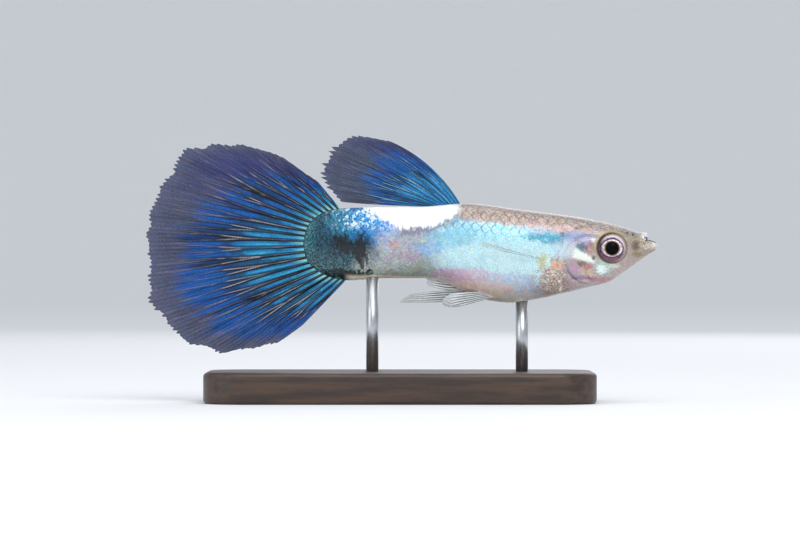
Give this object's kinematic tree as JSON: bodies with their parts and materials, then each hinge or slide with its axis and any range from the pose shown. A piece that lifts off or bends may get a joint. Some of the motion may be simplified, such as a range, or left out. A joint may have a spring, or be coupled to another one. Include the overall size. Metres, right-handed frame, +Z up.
{
  "type": "fancy guppy display model",
  "caption": "Life-size male fancy guppy with a broad blue delta tail and a swept dorsal fin, held level above a flat base by two short rods.",
  "frame": {"origin": "middle of the underside of the stand's base, on the surface it stands on", "axes": "+X towards the snout, +Z up, and the fish's middle plane at Y = 0, its right side towards -Y"},
  "size_m": [0.0501, 0.018, 0.0261],
  "materials": {
    "head_skin": "wet pinkish grey skin with fine dark speckles, silver and mint gloss on the cheek",
    "flank_skin": "pearly pale cyan scales, white below the dorsal fin, grey brown netting on the back, pinkish belly",
    "tail_skin": "dark teal and black scales that break up into white and blue towards the trunk",
    "blue_fin": "blue and teal membrane between fine rays, dull violet grey at the margin",
    "clear_fin": "thin clear membrane with pale rays",
    "eye": "glossy black pupil in a silver and mauve iris",
    "stand_base": "dark stained wood, satin",
    "stand_rod": "satin steel"
  },
  "bodies": {
    "root": {"head": "head_skin", "lower_jaw": "head_skin", "gill_cover_right": "head_skin", "gill_cover_left": "head_skin", "trunk": "flank_skin", "tail_stem": "tail_skin", "tail_fin": "blue_fin", "dorsal_fin": "blue_fin", "anal_fin": "clear_fin", "pelvic_fin_right": "clear_fin", "pelvic_fin_left": "clear_fin", "pectoral_fin_right": "clear_fin", "pectoral_fin_left": "clear_fin", "eye_right": "eye", "eye_left": "eye", "stand_base": "stand_base", "stand_rod_front": "stand_rod", "stand_rod_rear": "stand_rod"}
  },
  "joints": []
}
